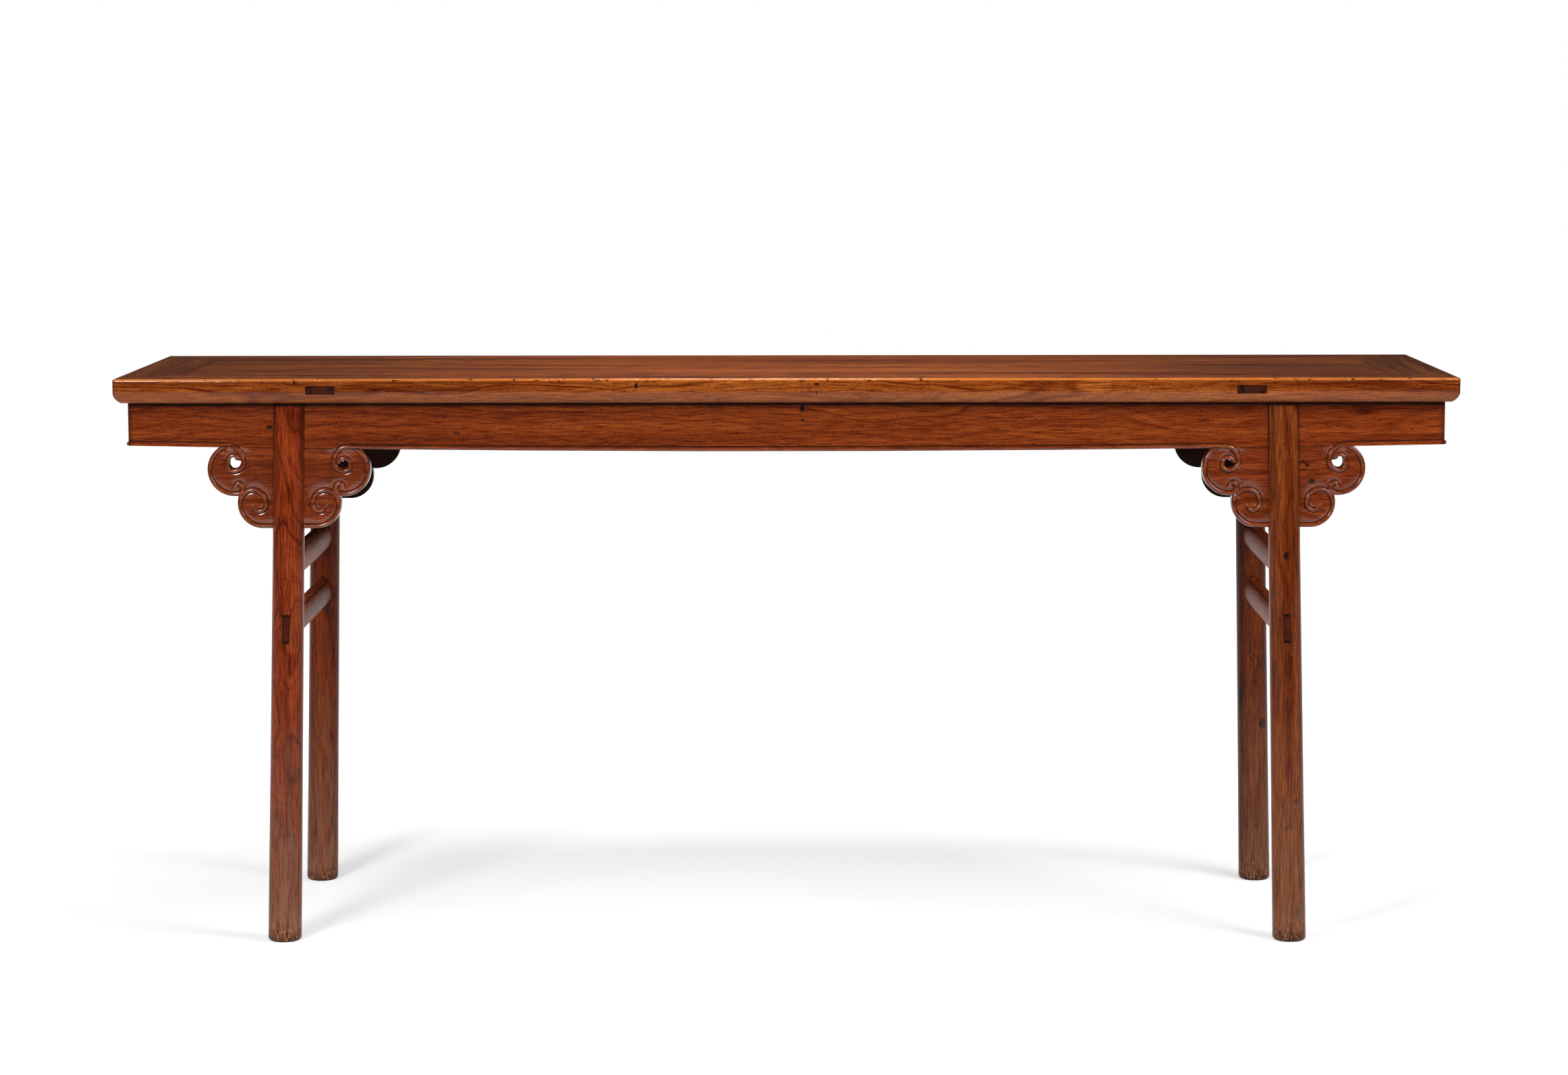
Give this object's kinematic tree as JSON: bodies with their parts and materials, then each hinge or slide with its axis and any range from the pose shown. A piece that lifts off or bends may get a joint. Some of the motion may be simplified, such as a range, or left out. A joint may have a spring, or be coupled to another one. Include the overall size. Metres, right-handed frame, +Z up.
{
  "type": "painting table",
  "caption": "Long recessed-leg painting table: framed panel top, splayed round legs, beaded aprons with cloud-scroll spandrels, and oval stretchers at the ends.",
  "frame": {"origin": "on the floor, under the middle of the top", "axes": "+X along the length of the table to the right, +Y from the front to the back, +Z up"},
  "size_m": [2.02, 0.52, 0.862],
  "materials": {
    "top_frame": "waxed hardwood with worn arrises",
    "top_panel": "waxed hardwood, streaked along its length",
    "battens": "dark oiled hardwood and end grain",
    "legs": "polished hardwood, grain upright",
    "aprons": "polished carved hardwood",
    "stretchers": "polished hardwood, grain along the rail"
  },
  "bodies": {
    "root": {"top_rail_front": "top_frame", "top_rail_back": "top_frame", "top_end_rail_left": "top_frame", "top_end_rail_right": "top_frame", "top_panel": "top_panel", "batten_1": "battens", "batten_2": "battens", "batten_3": "battens", "batten_4": "battens", "batten_5": "battens", "batten_wedges": "battens", "leg_front_left": "legs", "leg_front_right": "legs", "leg_back_left": "legs", "leg_back_right": "legs", "spandrel_front_left": "aprons", "spandrel_front_right": "aprons", "spandrel_back_left": "aprons", "spandrel_back_right": "aprons", "apron_front": "aprons", "apron_back": "aprons", "apron_end_left": "aprons", "apron_end_right": "aprons", "stretcher_upper_left": "stretchers", "stretcher_upper_right": "stretchers", "stretcher_lower_left": "stretchers", "stretcher_lower_right": "stretchers"}
  },
  "joints": []
}
